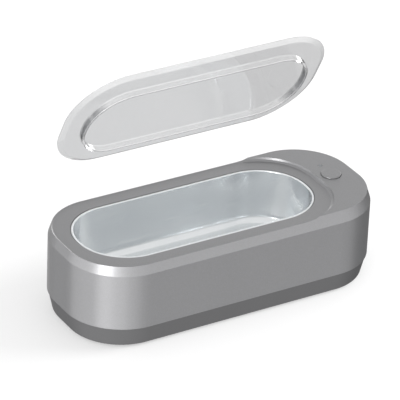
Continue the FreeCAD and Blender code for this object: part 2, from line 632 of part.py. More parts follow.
def make_leads():
    """The insulated leads inside the housing, each from its solder point to its socket."""
    board = value(DRIVER_TOP)
    disc = value(TANK_UNDERSIDE + " - dims.disc_thickness - 0.2")
    inlet = value("dims.inlet_height")
    pin_end = value(HALF_LENGTH + " - 17.5")
    control = value("dims.control_top - dims.board_thickness")
    routes = {
        "transducer_lead_live": (0.6, [(29.1, -2, board + 3), (20, -2, board + 3), (8, -5, board + 0.5),
                                       (-4, -6, board + 0.5), (-4, -6, disc)]),
        "transducer_lead_return": (0.6, [(29.1, 2, board + 3), (20, 2, board + 3), (8, 5, board + 0.5),
                                         (-2, 6, board + 0.5), (-2, 6, disc)]),
        "inlet_lead_live": (0.6, [(pin_end, 0, inlet), (pin_end - 2.5, 0, inlet), (pin_end + 1, 1.8, inlet - 8),
                                  (84.8, 1.8, board + 10), (84.8, 1.8, board + 6)]),
        "inlet_lead_return": (0.6, [(84.2, -0.2, inlet - 3.1), (84.2, -0.2, inlet - 5), (84.8, -1.8, board + 10),
                                    (84.8, -1.8, board + 6)]),
        "control_lead": (1.1, [(79, 15, control), (79, 15, control - 6), (68, 17, control - 14),
                               (66, 16, board + 11), (66, 16, board + 6)]),
    }
    for label, (radius, route) in routes.items():
        keep(wire(label, route, radius), label)


# ---------------------------------------------------------------- build, check and write
def check_and_export():
    """Stop on any failed object or bad shape, then write one STEP file for each node."""
    doc.recompute()
    failed = [obj.Name for obj in doc.Objects if "Invalid" in obj.State or "Error" in obj.State]
    bad = [node.Label for node in nodes if node.Shape.isNull() or not node.Shape.isValid()
           or not node.Shape.Solids]
    if failed or bad:
        raise RuntimeError("failed objects: %s; bad shapes: %s" % (failed, bad))
    os.makedirs("parts", exist_ok=True)
    for node in nodes:
        node.Shape.exportStep("parts/%s.step" % node.Label)
        print("%-24s %2d solid(s) %10.1f mm3" % (node.Label, len(node.Shape.Solids), node.Shape.Volume))


make_outer_shell()
make_base_cover()
make_rubber_feet()
make_base_screws()
make_tank()
make_tank_seal()
make_tank_clips()
make_clip_screws()
make_support_pads()
make_transducer()
make_lid()
make_power_button()
make_control_board()
make_driver_board()
make_transformer()
make_drive_transistor()
make_board_parts()
make_power_inlet()
make_leads()
check_and_export()
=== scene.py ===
"""Ultrasonic cleaner for jewellery: its finishes, its copper windings, and the studio it stands in.

The sections follow the cleaner as it is put together on a bench, from the base up to the loose lid.
"""
import json
import math

import bmesh
import bpy
from mathutils import Matrix, Vector

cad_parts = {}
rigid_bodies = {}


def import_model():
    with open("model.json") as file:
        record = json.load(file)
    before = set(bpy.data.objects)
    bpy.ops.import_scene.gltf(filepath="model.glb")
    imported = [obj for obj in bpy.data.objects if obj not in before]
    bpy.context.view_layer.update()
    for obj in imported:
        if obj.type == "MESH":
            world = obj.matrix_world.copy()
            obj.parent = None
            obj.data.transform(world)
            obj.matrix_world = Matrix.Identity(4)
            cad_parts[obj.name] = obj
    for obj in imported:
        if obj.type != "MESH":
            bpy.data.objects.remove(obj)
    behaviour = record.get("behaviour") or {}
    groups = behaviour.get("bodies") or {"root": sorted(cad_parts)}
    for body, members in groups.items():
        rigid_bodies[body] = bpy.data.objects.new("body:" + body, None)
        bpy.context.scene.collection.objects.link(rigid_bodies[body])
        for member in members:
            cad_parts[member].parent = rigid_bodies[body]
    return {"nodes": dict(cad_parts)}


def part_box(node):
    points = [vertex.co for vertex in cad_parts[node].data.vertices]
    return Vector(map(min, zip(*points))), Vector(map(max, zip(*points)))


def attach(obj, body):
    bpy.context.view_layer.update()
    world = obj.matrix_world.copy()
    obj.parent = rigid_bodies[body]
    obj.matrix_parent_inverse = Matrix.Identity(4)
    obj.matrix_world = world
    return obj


for left_over in list(bpy.data.objects):
    bpy.data.objects.remove(left_over)
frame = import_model()
nodes = frame["nodes"]
bpy.context.view_layer.update()

# ---- base cover: one injection moulding in dark grey ABS. Its mould is spark-eroded, so the skin has a
# fine even grain of about 0.3 mm and a satin sheen, and it looks a shade darker than the housing.
MM = 0.001
spark_grain_mm = 0.3
flow_clouds_per_metre = 30.0


def linear(hex_colour):
    """An sRGB hex value as the linear colour that shaders take."""
    channels = [int(hex_colour[i:i + 2], 16) / 255 for i in (1, 3, 5)]
    return [c / 12.92 if c <= 0.04045 else ((c + 0.055) / 1.055) ** 2.4 for c in channels] + [1.0]


def add_node(tree, kind, inputs=None, links=None, **settings):
    """Add a node, set its settings and input values, and link its inputs from other nodes' outputs."""
    node = tree.nodes.new(kind)
    for name, setting in settings.items():
        setattr(node, name, setting)
    for name, number in (inputs or {}).items():
        node.inputs[name].default_value = number
    for name, (source, output) in (links or {}).items():
        tree.links.new(source.outputs[output], node.inputs[name])
    return node


def new_finish(name, **constants):
    """A material with only a Principled shader; its constants sit on the shader's own sockets."""
    material = bpy.data.materials.new(name)
    material.use_nodes = True
    tree = material.node_tree
    tree.nodes.clear()
    shader = add_node(tree, "ShaderNodeBsdfPrincipled",
                      {socket.replace("_", " "): number for socket, number in constants.items()})
    add_node(tree, "ShaderNodeOutputMaterial", links={"Surface": (shader, "BSDF")})
    return material, tree, shader


def finish_node(name, material):
    """Give a CAD node its finish."""
    for slot in nodes[name].material_slots:
        slot.material = material


dark_abs, tree, shader = new_finish("spark_eroded_dark_abs", Metallic=0.0, IOR=1.5, Specular_IOR_Level=0.4)
place = add_node(tree, "ShaderNodeTexCoord")
grain = add_node(tree, "ShaderNodeTexNoise", {"Scale": 1 / (spark_grain_mm * MM), "Detail": 2.0},
                 {"Vector": (place, "Object")})
cloud = add_node(tree, "ShaderNodeTexNoise", {"Scale": flow_clouds_per_metre, "Detail": 3.0},
                 {"Vector": (place, "Object")})
tint = add_node(tree, "ShaderNodeValToRGB", links={"Fac": (cloud, "Fac")})
tint.color_ramp.elements[0].color = linear("#4e4e4f")
tint.color_ramp.elements[1].color = linear("#545455")
sheen = add_node(tree, "ShaderNodeMapRange", {"To Min": 0.40, "To Max": 0.50}, {"Value": (grain, "Fac")})
relief = add_node(tree, "ShaderNodeBump", {"Strength": 0.10, "Distance": 0.00004}, {"Height": (grain, "Fac")})
tree.links.new(tint.outputs["Color"], shader.inputs["Base Color"])
tree.links.new(sheen.outputs["Result"], shader.inputs["Roughness"])
tree.links.new(relief.outputs["Normal"], shader.inputs["Normal"])
finish_node("base_cover", dark_abs)

# ---- rubber feet and the pads under the tank: die-cut black rubber. The bloom that rubber grows shows as
# slightly paler clouds a few millimetres across, and the cut skin is dull.
bloom_mm = 4.0
black_rubber, tree, shader = new_finish("die_cut_black_rubber", Metallic=0.0, IOR=1.52)
place = add_node(tree, "ShaderNodeTexCoord")
bloom = add_node(tree, "ShaderNodeTexNoise", {"Scale": 1 / (bloom_mm * MM), "Detail": 5.0},
                 {"Vector": (place, "Object")})
tint = add_node(tree, "ShaderNodeValToRGB", links={"Fac": (bloom, "Fac")})
tint.color_ramp.elements[0].color = linear("#161616")
tint.color_ramp.elements[1].color = linear("#2a2a29")
dullness = add_node(tree, "ShaderNodeMapRange", {"To Min": 0.70, "To Max": 0.88}, {"Value": (bloom, "Fac")})
relief = add_node(tree, "ShaderNodeBump", {"Strength": 0.2, "Distance": 0.0001}, {"Height": (bloom, "Fac")})
tree.links.new(tint.outputs["Color"], shader.inputs["Base Color"])
tree.links.new(dullness.outputs["Result"], shader.inputs["Roughness"])
tree.links.new(relief.outputs["Normal"], shader.inputs["Normal"])
for name in ("rubber_feet", "support_pads"):
    finish_node(name, black_rubber)

# ---- screws and spring clips: cold-headed and pressed steel with clear zinc plate. The plate gives a cool
# silver with faint blue and straw clouds, and tumbling in the barrel leaves it satin.
plate_cloud_mm = 1.5
zinc_plate, tree, shader = new_finish("zinc_plated_steel", Metallic=1.0)
place = add_node(tree, "ShaderNodeTexCoord")
clouds = add_node(tree, "ShaderNodeTexNoise", {"Scale": 1 / (plate_cloud_mm * MM), "Detail": 3.0},
                  {"Vector": (place, "Object")})
tint = add_node(tree, "ShaderNodeValToRGB", links={"Fac": (clouds, "Fac")})
tint.color_ramp.elements[0].color = linear("#b4bac6")
tint.color_ramp.elements[1].color = linear("#c9c4b4")
satin = add_node(tree, "ShaderNodeMapRange", {"To Min": 0.24, "To Max": 0.40}, {"Value": (clouds, "Fac")})
tree.links.new(tint.outputs["Color"], shader.inputs["Base Color"])
tree.links.new(satin.outputs["Result"], shader.inputs["Roughness"])
for name in ("base_screws", "driver_screws", "control_screws", "transistor_screw", "clip_screws",
             "tank_clips"):
    finish_node(name, zinc_plate)

# ---- printed boards: glass-epoxy laminate with a green solder mask. Copper runs under the mask show as
# paler straight lines about 1.3 mm apart, and the mask itself is glossy.
track_pitch_mm = 1.3
solder_mask, tree, shader = new_finish("green_solder_mask", Metallic=0.0, IOR=1.55)
place = add_node(tree, "ShaderNodeTexCoord")
tracks = add_node(tree, "ShaderNodeTexBrick",
                  {"Scale": 1 / (track_pitch_mm * MM), "Mortar Size": 0.14, "Mortar Smooth": 0.1,
                   "Brick Width": 5.0, "Row Height": 1.0, "Color1": linear("#0f4a2a"),
                   "Color2": linear("#12522f"), "Mortar": linear("#2f7d4c")},
                  {"Vector": (place, "Object")}, offset=0.37)
relief = add_node(tree, "ShaderNodeBump", {"Strength": 0.3, "Distance": 0.00003}, {"Height": (tracks, "Fac")})
shader.inputs["Roughness"].default_value = 0.28
tree.links.new(tracks.outputs["Color"], shader.inputs["Base Color"])
tree.links.new(relief.outputs["Normal"], shader.inputs["Normal"])
for name in ("driver_board", "control_board"):
    finish_node(name, solder_mask)

# ---- black moulded parts: the transistor, the timer chip, the fuse and the switch are transfer-moulded in
# black epoxy. The silica in it leaves a fine dull grain of about 0.15 mm.
silica_grain_mm = 0.15
black_epoxy, tree, shader = new_finish("transfer_moulded_black_epoxy", Metallic=0.0, IOR=1.55)
place = add_node(tree, "ShaderNodeTexCoord")
silica = add_node(tree, "ShaderNodeTexNoise", {"Scale": 1 / (silica_grain_mm * MM), "Detail": 2.0},
                  {"Vector": (place, "Object")})
tint = add_node(tree, "ShaderNodeValToRGB", links={"Fac": (silica, "Fac")})
tint.color_ramp.elements[0].color = linear("#171719")
tint.color_ramp.elements[1].color = linear("#2b2b2d")
relief = add_node(tree, "ShaderNodeBump", {"Strength": 0.3, "Distance": 0.00003}, {"Height": (silica, "Fac")})
shader.inputs["Roughness"].default_value = 0.55
tree.links.new(tint.outputs["Color"], shader.inputs["Base Color"])
tree.links.new(relief.outputs["Normal"], shader.inputs["Normal"])
for name in ("drive_transistor", "timer_chip", "fuse", "switch_body", "switch_plunger"):
    finish_node(name, black_epoxy)

# ---- transformer core: pressed and sintered manganese-zinc ferrite. It is charcoal grey with tiny bright
# crystal points and feels like unglazed pottery.
crystal_mm = 0.25
ferrite, tree, shader = new_finish("sintered_ferrite", Metallic=0.2, IOR=1.9)
place = add_node(tree, "ShaderNodeTexCoord")
crystals = add_node(tree, "ShaderNodeTexVoronoi", {"Scale": 1 / (crystal_mm * MM)},
                    {"Vector": (place, "Object")})
tint = add_node(tree, "ShaderNodeValToRGB", links={"Fac": (crystals, "Distance")})
tint.color_ramp.elements[0].color = linear("#55565a")
tint.color_ramp.elements[1].color = linear("#2b2c2f")
tint.color_ramp.elements[1].position = 0.35
shader.inputs["Roughness"].default_value = 0.48
tree.links.new(tint.outputs["Color"], shader.inputs["Base Color"])
finish_node("transformer_core", ferrite)

# ---- windings: enamelled copper wire, one layer 0.9 mm thick over the transformer's bobbin and turns
# 0.6 mm thick round the choke's ring. The clear enamel gives the copper a warm wet gloss.
wire_mm = 0.9
winding_play = 0.0004       # metres by which the layer of turns sits inside the coil's own box
bobbin_corner = 0.0016      # metres, the radius that the wire takes at the bobbin's corners
choke_turn_count = 22
choke_wire_radius_mm = 0.3
enamel_cloud_mm = 2.0
enamelled_copper, tree, shader = new_finish("enamelled_copper_wire", Metallic=1.0, Coat_Weight=0.6,
                                            Coat_Roughness=0.08)
place = add_node(tree, "ShaderNodeTexCoord")
clouds = add_node(tree, "ShaderNodeTexNoise", {"Scale": 1 / (enamel_cloud_mm * MM), "Detail": 2.0},
                  {"Vector": (place, "Object")})
tint = add_node(tree, "ShaderNodeValToRGB", links={"Fac": (clouds, "Fac")})
tint.color_ramp.elements[0].color = linear("#a85a2a")
tint.color_ramp.elements[1].color = linear("#cf7b3e")
shader.inputs["Roughness"].default_value = 0.3
tree.links.new(tint.outputs["Color"], shader.inputs["Base Color"])
for name in ("transformer_coil", "choke"):
    finish_node(name, enamelled_copper)


def new_geometry_tree(name, inputs):
    """A Geometry Nodes tree with named inputs; returns the tree, its input node and its output node."""
    tree = bpy.data.node_groups.new(name, "GeometryNodeTree")
    tree.interface.new_socket("Geometry", in_out="OUTPUT", socket_type="NodeSocketGeometry")
    for label, kind in inputs.items():
        tree.interface.new_socket(label, in_out="INPUT", socket_type=kind)
    return tree, add_node(tree, "NodeGroupInput"), add_node(tree, "NodeGroupOutput")


def make_piece(name, tree, values, body, at):
    """Run a Geometry Nodes tree with these values, place the plain mesh it makes, and let it ride a body."""
    carrier = bpy.data.objects.new(name, bpy.data.meshes.new(name))
    bpy.context.scene.collection.objects.link(carrier)
    modifier = carrier.modifiers.new("shape", "NODES")
    modifier.node_group = tree
    sockets = {item.name: item.identifier for item in tree.interface.items_tree if item.in_out == "INPUT"}
    for label, number in values.items():
        modifier[sockets[label]] = number
    bpy.context.view_layer.update()
    evaluated = carrier.evaluated_get(bpy.context.evaluated_depsgraph_get())
    mesh = bpy.data.meshes.new_from_object(evaluated)
    carrier.modifiers.remove(modifier)
    mesh.transform(Matrix.Translation(at))
    mesh.name = name
    carrier.data = mesh
    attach(carrier, body)
    return carrier


# The layer of turns on the bobbin: one rounded loop of wire for each turn, side by side along a line.
turns_tree, given, result = new_geometry_tree("turns_on_a_bobbin", {
    "Turns": "NodeSocketInt", "Pitch": "NodeSocketFloat", "Wire Radius": "NodeSocketFloat",
    "Loop Width": "NodeSocketFloat", "Loop Height": "NodeSocketFloat", "Wire": "NodeSocketMaterial"})
loop = add_node(turns_tree, "GeometryNodeCurvePrimitiveQuadrilateral",
                links={"Width": (given, "Loop Width"), "Height": (given, "Loop Height")})
soft_loop = add_node(turns_tree, "GeometryNodeFilletCurve", {"Radius": bobbin_corner, "Count": 5},
                     {"Curve": (loop, "Curve")}, mode="POLY")
profile = add_node(turns_tree, "GeometryNodeCurvePrimitiveCircle", {"Resolution": 8},
                   {"Radius": (given, "Wire Radius")})
turn_mesh = add_node(turns_tree, "GeometryNodeCurveToMesh",
                     links={"Curve": (soft_loop, "Curve"), "Profile Curve": (profile, "Curve")})
step = add_node(turns_tree, "ShaderNodeCombineXYZ", links={"Z": (given, "Pitch")})
line = add_node(turns_tree, "GeometryNodeMeshLine",
                links={"Count": (given, "Turns"), "Offset": (step, "Vector")})
laid = add_node(turns_tree, "GeometryNodeInstanceOnPoints",
                links={"Points": (line, "Mesh"), "Instance": (turn_mesh, "Mesh")})
real = add_node(turns_tree, "GeometryNodeRealizeInstances", links={"Geometry": (laid, "Instances")})
coated = add_node(turns_tree, "GeometryNodeSetMaterial",
                  links={"Geometry": (real, "Geometry"), "Material": (given, "Wire")})
turns_tree.links.new(coated.outputs["Geometry"], result.inputs["Geometry"])

coil_low, coil_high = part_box("transformer_coil")
make_piece(
    "coil_turns", turns_tree,
    {"Turns": int((coil_high.z - coil_low.z - winding_play) / (wire_mm * MM)), "Pitch": wire_mm * MM,
     "Wire Radius": wire_mm * MM / 2, "Loop Width": coil_high.x - coil_low.x - winding_play,
     "Loop Height": coil_high.y - coil_low.y - winding_play, "Wire": enamelled_copper},
    "housing",
    at=Vector(((coil_low.x + coil_high.x) / 2, (coil_low.y + coil_high.y) / 2,
               coil_low.z + (wire_mm * MM + winding_play) / 2)))

# The choke's turns: thinner wire passed through the ring, one small loop standing at each point round it.
ring_tree, given, result = new_geometry_tree("turns_round_a_ring", {
    "Turns": "NodeSocketInt", "Ring Radius": "NodeSocketFloat", "Wire Radius": "NodeSocketFloat",
    "Loop Radius": "NodeSocketFloat", "Wire": "NodeSocketMaterial"})
ring = add_node(ring_tree, "GeometryNodeCurvePrimitiveCircle", {"Resolution": 96},
                {"Radius": (given, "Ring Radius")})
spots = add_node(ring_tree, "GeometryNodeCurveToPoints",
                 links={"Curve": (ring, "Curve"), "Count": (given, "Turns")})
loop = add_node(ring_tree, "GeometryNodeCurvePrimitiveCircle", {"Resolution": 20},
                {"Radius": (given, "Loop Radius")})
profile = add_node(ring_tree, "GeometryNodeCurvePrimitiveCircle", {"Resolution": 7},
                   {"Radius": (given, "Wire Radius")})
turn_mesh = add_node(ring_tree, "GeometryNodeCurveToMesh",
                     links={"Curve": (loop, "Curve"), "Profile Curve": (profile, "Curve")})
laid = add_node(ring_tree, "GeometryNodeInstanceOnPoints",
                links={"Points": (spots, "Points"), "Instance": (turn_mesh, "Mesh"),
                       "Rotation": (spots, "Rotation")})
real = add_node(ring_tree, "GeometryNodeRealizeInstances", links={"Geometry": (laid, "Instances")})
coated = add_node(ring_tree, "GeometryNodeSetMaterial",
                  links={"Geometry": (real, "Geometry"), "Material": (given, "Wire")})
ring_tree.links.new(coated.outputs["Geometry"], result.inputs["Geometry"])

choke_low, choke_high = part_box("choke")
choke_centre = (choke_low + choke_high) / 2
ring_section = (choke_high.z - choke_low.z) / 2
make_piece(
    "choke_turns", ring_tree,
    {"Turns": choke_turn_count, "Ring Radius": (choke_high.x - choke_low.x) / 2 - ring_section,
     "Wire Radius": choke_wire_radius_mm * MM, "Loop Radius": ring_section, "Wire": enamelled_copper},
    "housing", at=choke_centre)

# ---- heat sink: a finned plate cut from extruded aluminium. The die leaves fine lines along the extrusion,
# and the bare metal has gone slightly grey.
die_line_mm = 0.2
die_line_scale_along = 0.02     # the pattern's scale along the extrusion, as a share of that across it
extruded_aluminium, tree, shader = new_finish("extruded_aluminium", Metallic=1.0)
place = add_node(tree, "ShaderNodeTexCoord")
drawn = add_node(tree, "ShaderNodeMapping", {"Scale": (1.0, 1.0, die_line_scale_along)},
                 {"Vector": (place, "Object")})
lines = add_node(tree, "ShaderNodeTexNoise", {"Scale": 1 / (die_line_mm * MM), "Detail": 3.0},
                 {"Vector": (drawn, "Vector")})
tint = add_node(tree, "ShaderNodeValToRGB", links={"Fac": (lines, "Fac")})
tint.color_ramp.elements[0].color = linear("#a9abae")
tint.color_ramp.elements[1].color = linear("#c6c8ca")
satin = add_node(tree, "ShaderNodeMapRange", {"To Min": 0.28, "To Max": 0.45}, {"Value": (lines, "Fac")})
tree.links.new(tint.outputs["Color"], shader.inputs["Base Color"])
tree.links.new(satin.outputs["Result"], shader.inputs["Roughness"])
finish_node("heat_sink", extruded_aluminium)

# ---- capacitors: aluminium cans in a dark blue shrunk sleeve, and a film capacitor in an orange-red box.
# The sleeve stops just under the can's bright top, and shrinking leaves it glossy with slight ripples.
sleeve_ripple_mm = 1.5
bare_top_mm = 0.3
can_top_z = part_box("smoothing_capacitors")[1].z
shrunk_sleeve, tree, shader = new_finish("shrunk_vinyl_sleeve", IOR=1.54)
place = add_node(tree, "ShaderNodeTexCoord")
height = add_node(tree, "ShaderNodeSeparateXYZ", links={"Vector": (place, "Object")})
can_top = add_node(tree, "ShaderNodeMath", {1: can_top_z - bare_top_mm * MM}, {0: (height, "Z")},
                   operation="GREATER_THAN")
ripple = add_node(tree, "ShaderNodeTexNoise", {"Scale": 1 / (sleeve_ripple_mm * MM), "Detail": 1.0},
                  {"Vector": (place, "Object")})
tint = add_node(tree, "ShaderNodeMix", {"A": linear("#141b3a"), "B": linear("#c9cbcd")},
                {"Factor": (can_top, "Value")}, data_type="RGBA")
relief = add_node(tree, "ShaderNodeBump", {"Strength": 0.2, "Distance": 0.0001}, {"Height": (ripple, "Fac")})
shader.inputs["Roughness"].default_value = 0.22
tree.links.new(can_top.outputs["Value"], shader.inputs["Metallic"])
tree.links.new(tint.outputs[2], shader.inputs["Base Color"])
tree.links.new(relief.outputs["Normal"], shader.inputs["Normal"])
finish_node("smoothing_capacitors", shrunk_sleeve)

orange_peel_mm = 0.8
film_case, tree, shader = new_finish("moulded_film_capacitor_case", Roughness=0.35, IOR=1.5)
place = add_node(tree, "ShaderNodeTexCoord")
peel = add_node(tree, "ShaderNodeTexNoise", {"Scale": 1 / (orange_peel_mm * MM)},
                {"Vector": (place, "Object")})
tint = add_node(tree, "ShaderNodeValToRGB", links={"Fac": (peel, "Fac")})
tint.color_ramp.elements[0].color = linear("#a63a22")
tint.color_ramp.elements[1].color = linear("#bb4a2d")
tree.links.new(tint.outputs["Color"], shader.inputs["Base Color"])
finish_node("drive_capacitor", film_case)

# ---- lead sockets: small housings moulded in natural nylon, standing on the driver board.
# The nylon is slightly translucent and the colour of ivory.
nylon_cloud_mm = 3.0
natural_nylon, tree, shader = new_finish("natural_nylon", Roughness=0.45, IOR=1.53, Subsurface_Weight=0.15)
shader.inputs["Subsurface Radius"].default_value = (0.001, 0.001, 0.0008)
place = add_node(tree, "ShaderNodeTexCoord")
cloud = add_node(tree, "ShaderNodeTexNoise", {"Scale": 1 / (nylon_cloud_mm * MM)},
                 {"Vector": (place, "Object")})
tint = add_node(tree, "ShaderNodeValToRGB", links={"Fac": (cloud, "Fac")})
tint.color_ramp.elements[0].color = linear("#ddd8c6")
tint.color_ramp.elements[1].color = linear("#ebe7d8")
tree.links.new(tint.outputs["Color"], shader.inputs["Base Color"])
finish_node("lead_sockets", natural_nylon)

# ---- leads: tinned strands in red or black silicone. Extruded silicone has a soft sheen and picks up dust,
# so its colour varies a little along the lead.
dust_mm = 5.0
for name, dark, light, leads in (
        ("red_silicone_insulation", "#7c1712", "#93241c", ("transducer_lead_live", "inlet_lead_live")),
        ("black_silicone_insulation", "#19191a", "#29292a",
         ("transducer_lead_return", "inlet_lead_return", "control_lead"))):
    insulation, tree, shader = new_finish(name, Roughness=0.5, IOR=1.41)
    place = add_node(tree, "ShaderNodeTexCoord")
    dust = add_node(tree, "ShaderNodeTexNoise", {"Scale": 1 / (dust_mm * MM), "Detail": 4.0},
                    {"Vector": (place, "Object")})
    tint = add_node(tree, "ShaderNodeValToRGB", links={"Fac": (dust, "Fac")})
    tint.color_ramp.elements[0].color = linear(dark)
    tint.color_ramp.elements[1].color = linear(light)
    tree.links.new(tint.outputs["Color"], shader.inputs["Base Color"])
    for lead in leads:
        finish_node(lead, insulation)

# ---- transducer: a pressed and sintered lead-zirconate disc with a silver film fired onto its face.
# The ceramic is a dull khaki; the film shows the weave of the screen it was printed through.
screen_mm = 0.4
piezo_ceramic, tree, shader = new_finish("sintered_piezo_ceramic", Roughness=0.7, IOR=1.9)
place = add_node(tree, "ShaderNodeTexCoord")
speck = add_node(tree, "ShaderNodeTexNoise", {"Scale": 1 / (screen_mm * MM), "Detail": 4.0},
                 {"Vector": (place, "Object")})
tint = add_node(tree, "ShaderNodeValToRGB", links={"Fac": (speck, "Fac")})
tint.color_ramp.elements[0].color = linear("#8c8468")
tint.color_ramp.elements[1].color = linear("#a59d80")
tree.links.new(tint.outputs["Color"], shader.inputs["Base Color"])
finish_node("piezo_disc", piezo_ceramic)

fired_silver, tree, shader = new_finish("fired_silver_film", Metallic=1.0)
place = add_node(tree, "ShaderNodeTexCoord")
mesh_print = add_node(tree, "ShaderNodeTexNoise", {"Scale": 1 / (screen_mm * MM), "Detail": 3.0},
                      {"Vector": (place, "Object")})
tint = add_node(tree, "ShaderNodeValToRGB", links={"Fac": (mesh_print, "Fac")})
tint.color_ramp.elements[0].color = linear("#c2c0b8")
tint.color_ramp.elements[1].color = linear("#dedcd4")
satin = add_node(tree, "ShaderNodeMapRange", {"To Min": 0.35, "To Max": 0.55}, {"Value": (mesh_print, "Fac")})
tree.links.new(tint.outputs["Color"], shader.inputs["Base Color"])
tree.links.new(satin.outputs["Result"], shader.inputs["Roughness"])
finish_node("disc_electrode", fired_silver)

# ---- tank: one deep drawing in 0.7 mm stainless sheet, satin polished inside. The polishing wheel runs the
# long way of the tank, so the steel has fine streaks along it and soft, stretched reflections.
polish_line_mm = 0.25
streak_scale_along = 0.012      # the pattern's scale along the tank, as a share of that across it
water_marks_per_metre = 45.0
satin_stainless, tree, shader = new_finish("satin_polished_stainless", Metallic=1.0)
place = add_node(tree, "ShaderNodeTexCoord")
drawn = add_node(tree, "ShaderNodeMapping", {"Scale": (streak_scale_along, 1.0, 1.0)},
                 {"Vector": (place, "Object")})
streaks = add_node(tree, "ShaderNodeTexNoise", {"Scale": 1 / (polish_line_mm * MM), "Detail": 4.0},
                   {"Vector": (drawn, "Vector")})
water_mark = add_node(tree, "ShaderNodeTexNoise",
                      {"Scale": water_marks_per_metre, "Detail": 3.0, "Distortion": 0.6},
                      {"Vector": (place, "Object")})
tint = add_node(tree, "ShaderNodeValToRGB", links={"Fac": (water_mark, "Fac")})
tint.color_ramp.elements[0].color = linear("#dfe2e4")
tint.color_ramp.elements[1].color = linear("#eceeef")
satin = add_node(tree, "ShaderNodeMapRange", {"To Min": 0.16, "To Max": 0.32}, {"Value": (streaks, "Fac")})
relief = add_node(tree, "ShaderNodeBump", {"Strength": 0.12, "Distance": 0.00004},
                  {"Height": (streaks, "Fac")})
tree.links.new(tint.outputs["Color"], shader.inputs["Base Color"])
tree.links.new(satin.outputs["Result"], shader.inputs["Roughness"])
tree.links.new(relief.outputs["Normal"], shader.inputs["Normal"])
finish_node("tank", satin_stainless)

# ---- tank seal: a flat ring cut from milky silicone sheet, squeezed under the tank's rim.
# It is slightly see-through and a little dusty.
sheet_cloud_mm = 2.5
milky_silicone, tree, shader = new_finish("milky_silicone_sheet", Roughness=0.55, IOR=1.41,
                                          Subsurface_Weight=0.3)
shader.inputs["Subsurface Radius"].default_value = (0.001, 0.001, 0.001)
place = add_node(tree, "ShaderNodeTexCoord")
cloud = add_node(tree, "ShaderNodeTexNoise", {"Scale": 1 / (sheet_cloud_mm * MM)},
                 {"Vector": (place, "Object")})
tint = add_node(tree, "ShaderNodeValToRGB", links={"Fac": (cloud, "Fac")})
tint.color_ramp.elements[0].color = linear("#cfcfca")
tint.color_ramp.elements[1].color = linear("#e2e2de")
tree.links.new(tint.outputs["Color"], shader.inputs["Base Color"])
finish_node("tank_seal", milky_silicone)

# ---- outer shell and button cap: ABS sprayed with a satin silver-grey lacquer. Fine aluminium flake in it
# gives a tight sparkle and a soft, wide highlight; the sprayed film has a faint orange-peel ripple.
flake_mm = 0.3              # real flake is 0.03 mm across; this is as coarse as it needs to show
lacquer_ripple_mm = 2.2
spray_cloud_mm = 45.0
silver_lacquer, tree, shader = new_finish("satin_silver_lacquer", Metallic=0.6, IOR=1.5, Coat_Weight=0.35,
                                          Coat_Roughness=0.12, Coat_IOR=1.45)
place = add_node(tree, "ShaderNodeTexCoord")
flake = add_node(tree, "ShaderNodeTexVoronoi", {"Scale": 1 / (flake_mm * MM)}, {"Vector": (place, "Object")})
spray = add_node(tree, "ShaderNodeTexNoise", {"Scale": 1 / (spray_cloud_mm * MM), "Detail": 2.0},
                 {"Vector": (place, "Object")})
ripple = add_node(tree, "ShaderNodeTexNoise", {"Scale": 1 / (lacquer_ripple_mm * MM), "Detail": 1.0},
                  {"Vector": (place, "Object")})
flake_tint = add_node(tree, "ShaderNodeValToRGB", links={"Fac": (flake, "Color")})
flake_tint.color_ramp.elements[0].color = linear("#828283")
flake_tint.color_ramp.elements[1].color = linear("#8b8b8d")
cloud_tint = add_node(tree, "ShaderNodeValToRGB", links={"Fac": (spray, "Fac")})
cloud_tint.color_ramp.elements[0].color = (0.97, 0.97, 0.97, 1)
cloud_tint.color_ramp.elements[1].color = (1.03, 1.03, 1.03, 1)
tint = add_node(tree, "ShaderNodeMix", {"Factor": 1.0}, data_type="RGBA", blend_type="MULTIPLY")
tree.links.new(flake_tint.outputs["Color"], tint.inputs[6])
tree.links.new(cloud_tint.outputs["Color"], tint.inputs[7])
satin = add_node(tree, "ShaderNodeMapRange", {"To Min": 0.34, "To Max": 0.40}, {"Value": (flake, "Distance")})
relief = add_node(tree, "ShaderNodeBump", {"Strength": 0.05, "Distance": 0.00008},
                  {"Height": (ripple, "Fac")})
tree.links.new(tint.outputs[2], shader.inputs["Base Color"])
tree.links.new(satin.outputs["Result"], shader.inputs["Roughness"])
tree.links.new(relief.outputs["Normal"], shader.inputs["Normal"])
for name in ("outer_shell", "power_button"):
    finish_node(name, silver_lacquer)

# ---- lamp and its light guide: a water-clear epoxy lamp below a clear polycarbonate rod that ends flush
# with the deck. A frosted end and a pale core keep the guide quiet while the lamp is off.
frost_mm = 0.2
clear_guide, tree, shader = new_finish("clear_polycarbonate", IOR=1.58, Transmission_Weight=0.6)
place = add_node(tree, "ShaderNodeTexCoord")
frost = add_node(tree, "ShaderNodeTexNoise", {"Scale": 1 / (frost_mm * MM)}, {"Vector": (place, "Object")})
tint = add_node(tree, "ShaderNodeValToRGB", links={"Fac": (frost, "Fac")})
tint.color_ramp.elements[0].color = linear("#a9b0b4")
tint.color_ramp.elements[1].color = linear("#bcc2c5")
satin = add_node(tree, "ShaderNodeMapRange", {"To Min": 0.25, "To Max": 0.4}, {"Value": (frost, "Fac")})
tree.links.new(tint.outputs["Color"], shader.inputs["Base Color"])
tree.links.new(satin.outputs["Result"], shader.inputs["Roughness"])
for name in ("lamp", "light_guide"):
    finish_node(name, clear_guide)

